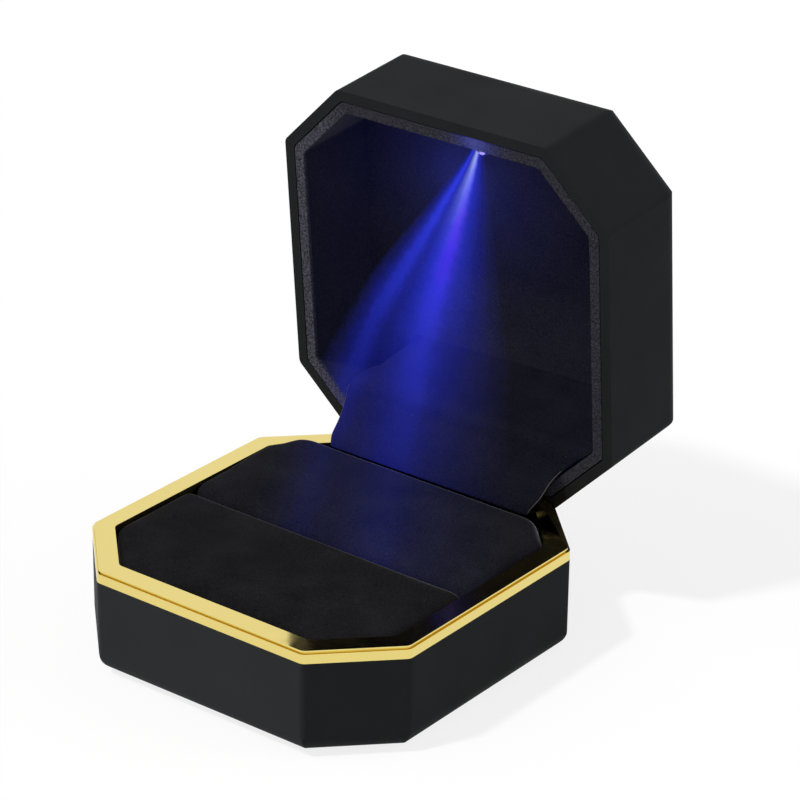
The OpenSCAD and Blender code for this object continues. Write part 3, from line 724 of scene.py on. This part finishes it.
def floor_finish():
    """White floor: the camera sees it white, with a pale shadow."""
    material = bpy.data.materials.new("floor_white")
    material.use_nodes = True
    tree = material.node_tree
    tree.nodes.clear()
    output = tree.nodes.new("ShaderNodeOutputMaterial")
    diffuse = tree.nodes.new("ShaderNodeBsdfDiffuse")
    diffuse.inputs["Color"].default_value = (1, 1, 1, 1)
    glow = tree.nodes.new("ShaderNodeEmission")
    glow.inputs["Color"].default_value = (1, 1, 1, 1)
    glow.inputs["Strength"].default_value = 1.0
    seen = tree.nodes.new("ShaderNodeLightPath")
    share = tree.nodes.new("ShaderNodeMath")
    share.operation = "MULTIPLY"
    either = tree.nodes.new("ShaderNodeMath")
    either.operation = "MAXIMUM"
    share.inputs[1].default_value = FLOOR_WHITE_SHARE
    mix = tree.nodes.new("ShaderNodeMixShader")
    tree.links.new(seen.outputs["Is Camera Ray"], either.inputs[0])
    tree.links.new(seen.outputs["Is Glossy Ray"], either.inputs[1])
    tree.links.new(either.outputs[0], share.inputs[0])
    tree.links.new(share.outputs[0], mix.inputs[0])
    tree.links.new(diffuse.outputs[0], mix.inputs[1])
    tree.links.new(glow.outputs[0], mix.inputs[2])
    tree.links.new(mix.outputs[0], output.inputs[0])
    return material


def build_floor():
    mesh = bpy.data.meshes.new("floor")
    corners = [(x, y, 0) for x, y in ((-1, -1), (1, -1), (1, 1), (-1, 1))]
    mesh.from_pydata([Vector(c) * FLOOR_HALF for c in corners], [], [(0, 1, 2, 3)])
    floor = bpy.data.objects.new("floor", mesh)
    floor.location.z = -FLOOR_DROP
    mesh.materials.append(floor_finish())
    bpy.context.scene.collection.objects.link(floor)
    floor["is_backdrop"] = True


def build_world():
    """Soft white surround: pure white where the camera, metal or glass sees it."""
    world = bpy.data.worlds.new("studio")
    bpy.context.scene.world = world
    world.use_nodes = True
    tree = world.node_tree
    back = tree.nodes["Background"]
    back.inputs["Color"].default_value = (1, 1, 1, 1)
    seen = tree.nodes.new("ShaderNodeLightPath")
    either = tree.nodes.new("ShaderNodeMath")
    either.operation = "MAXIMUM"
    any_seen = tree.nodes.new("ShaderNodeMath")
    any_seen.operation = "MAXIMUM"
    strength = tree.nodes.new("ShaderNodeMapRange")
    strength.inputs["To Min"].default_value = WORLD_LEVEL
    strength.inputs["To Max"].default_value = 1.0
    tree.links.new(seen.outputs["Is Camera Ray"], either.inputs[0])
    tree.links.new(seen.outputs["Is Glossy Ray"], either.inputs[1])
    tree.links.new(either.outputs[0], any_seen.inputs[0])
    tree.links.new(seen.outputs["Is Transmission Ray"], any_seen.inputs[1])
    tree.links.new(any_seen.outputs[0], strength.inputs["Value"])
    tree.links.new(strength.outputs[0], back.inputs["Strength"])


# Name, strength, softness in degrees, direction of travel and, for a light that is flagged
# off from the rest, the only nodes it falls on
LIGHTS = [
    ("key", 2.05, 5, (0.24, 0.51, -0.83), ()),
    ("side", 0.6, 60, (0.66, 0.52, -0.54), ()),
    ("fill_left", 7.2, 30, (0.80, 0.60, 0.0), ("base_shell",)),
    ("fill_right", 1.0, 50, (-0.74, -0.58, -0.35), ()),
    ("lid_soft", 1.4, 70, (-0.45, 0.80, -0.40), ("lid_liner",)),
]


def build_lights(frame):
    for name, strength, softness, travel, only in LIGHTS:
        sun = bpy.data.lights.new(name, "SUN")
        sun.energy = strength
        sun.angle = math.radians(softness)
        lamp = bpy.data.objects.new(name, sun)
        lamp.rotation_euler = Vector(travel).to_track_quat("-Z", "Y").to_euler()
        lamp.visible_glossy = name == "key"
        bpy.context.scene.collection.objects.link(lamp)
        if only:
            lit = bpy.data.collections.new(name + "_lit")
            for node in only:
                lit.objects.link(frame["nodes"][node])
            lamp.light_linking.receiver_collection = lit


def build_camera():
    data = bpy.data.cameras.new("camera")
    data.sensor_width = SENSOR
    data.lens = FOCAL_LENGTH
    data.shift_x, data.shift_y = CAMERA_SHIFT
    data.clip_start = 0.01
    camera = bpy.data.objects.new("camera", data)
    camera.location = CAMERA_AT
    level = Euler((math.pi / 2 - CAMERA_ELEVATION, 0, CAMERA_AZIMUTH)).to_matrix()
    camera.rotation_euler = (level @ Matrix.Rotation(CAMERA_ROLL, 3, "Z")).to_euler()
    bpy.context.scene.collection.objects.link(camera)
    bpy.context.scene.camera = camera


def corners():
    return [list(corner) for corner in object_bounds()]


def main():
    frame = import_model()
    bpy.context.scene.view_settings.view_transform = "Standard"
    build_camera()
    build_world()
    build_floor()
    build_lights(frame)

    dark, light = colour(8, 8, 9), colour(31, 31, 33)
    pad_velvet = velvet_finish("pad_velvet", dark, light, lip_highlights=True)
    # The rear pad and the hinge cover get painted lamp light
    lit_velvet = velvet_finish("rear_velvet", dark, light, 0.45, lip_highlights=True)
    cover_velvet = velvet_finish("cover_velvet", colour(8, 8, 9), colour(26, 25, 28), 1.0)
    cut_edge = plain_finish("velvet_edge", colour(70, 64, 62), 0.9, 0.3 * MM, 0.1 * MM)

    give(frame, ["base_shell", "lid_shell"], shell_finish())
    give(frame, ["trim_frame"], gold_finish())
    give(frame, ["lid_liner"], flock_finish())
    give(frame, ["lamp"], lens_finish())
    give(frame, ["lamp_housing"], plain_finish("housing_black", colour(24, 24, 30), 0.5))
    felt = plain_finish("foot_felt", colour(52, 52, 54), 0.95, 0.3 * MM, 0.1 * MM)
    give(frame, ["base_pad"], felt)
    give(frame, ["insert_tray"], plain_finish("tray_plastic", colour(38, 38, 40), 0.6))
    steel = plain_finish("hinge_steel", colour(176, 177, 180), 0.30, Metallic=1.0)
    give(frame, ["hinge_base_leaf", "hinge_lid_leaf", "hinge_pin"], steel)
    spring = plain_finish("spring_steel", colour(150, 150, 154), 0.25, Metallic=1.0)
    give(frame, ["hinge_spring", "switch_spring", "hinge_base_screws", "hinge_lid_screws",
                 "battery_clips"], spring)
    board = plain_finish("board_green", colour(20, 74, 40), 0.45)
    give(frame, ["battery_board", "lamp_board"], board)
    nickel = plain_finish("cell_nickel", colour(190, 190, 188), 0.28, Metallic=1.0)
    give(frame, ["coin_cells"], nickel)
    give(frame, ["resistor", "switch_body"], plain_finish("moulded_dark", colour(30, 30, 33), 0.5))
    give(frame, ["switch_plunger"], plain_finish("moulded_white", colour(205, 205, 200), 0.45))
    give(frame, ["lamp_wires"], plain_finish("wire_red", colour(150, 26, 24), 0.45))

    for node, material in (("front_pad", pad_velvet), ("rear_pad", lit_velvet)):
        piece = cushion(frame, node, material)
        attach(piece, "base")
        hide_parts(node)

    hinge_cover(cover_velvet, cut_edge)


main()
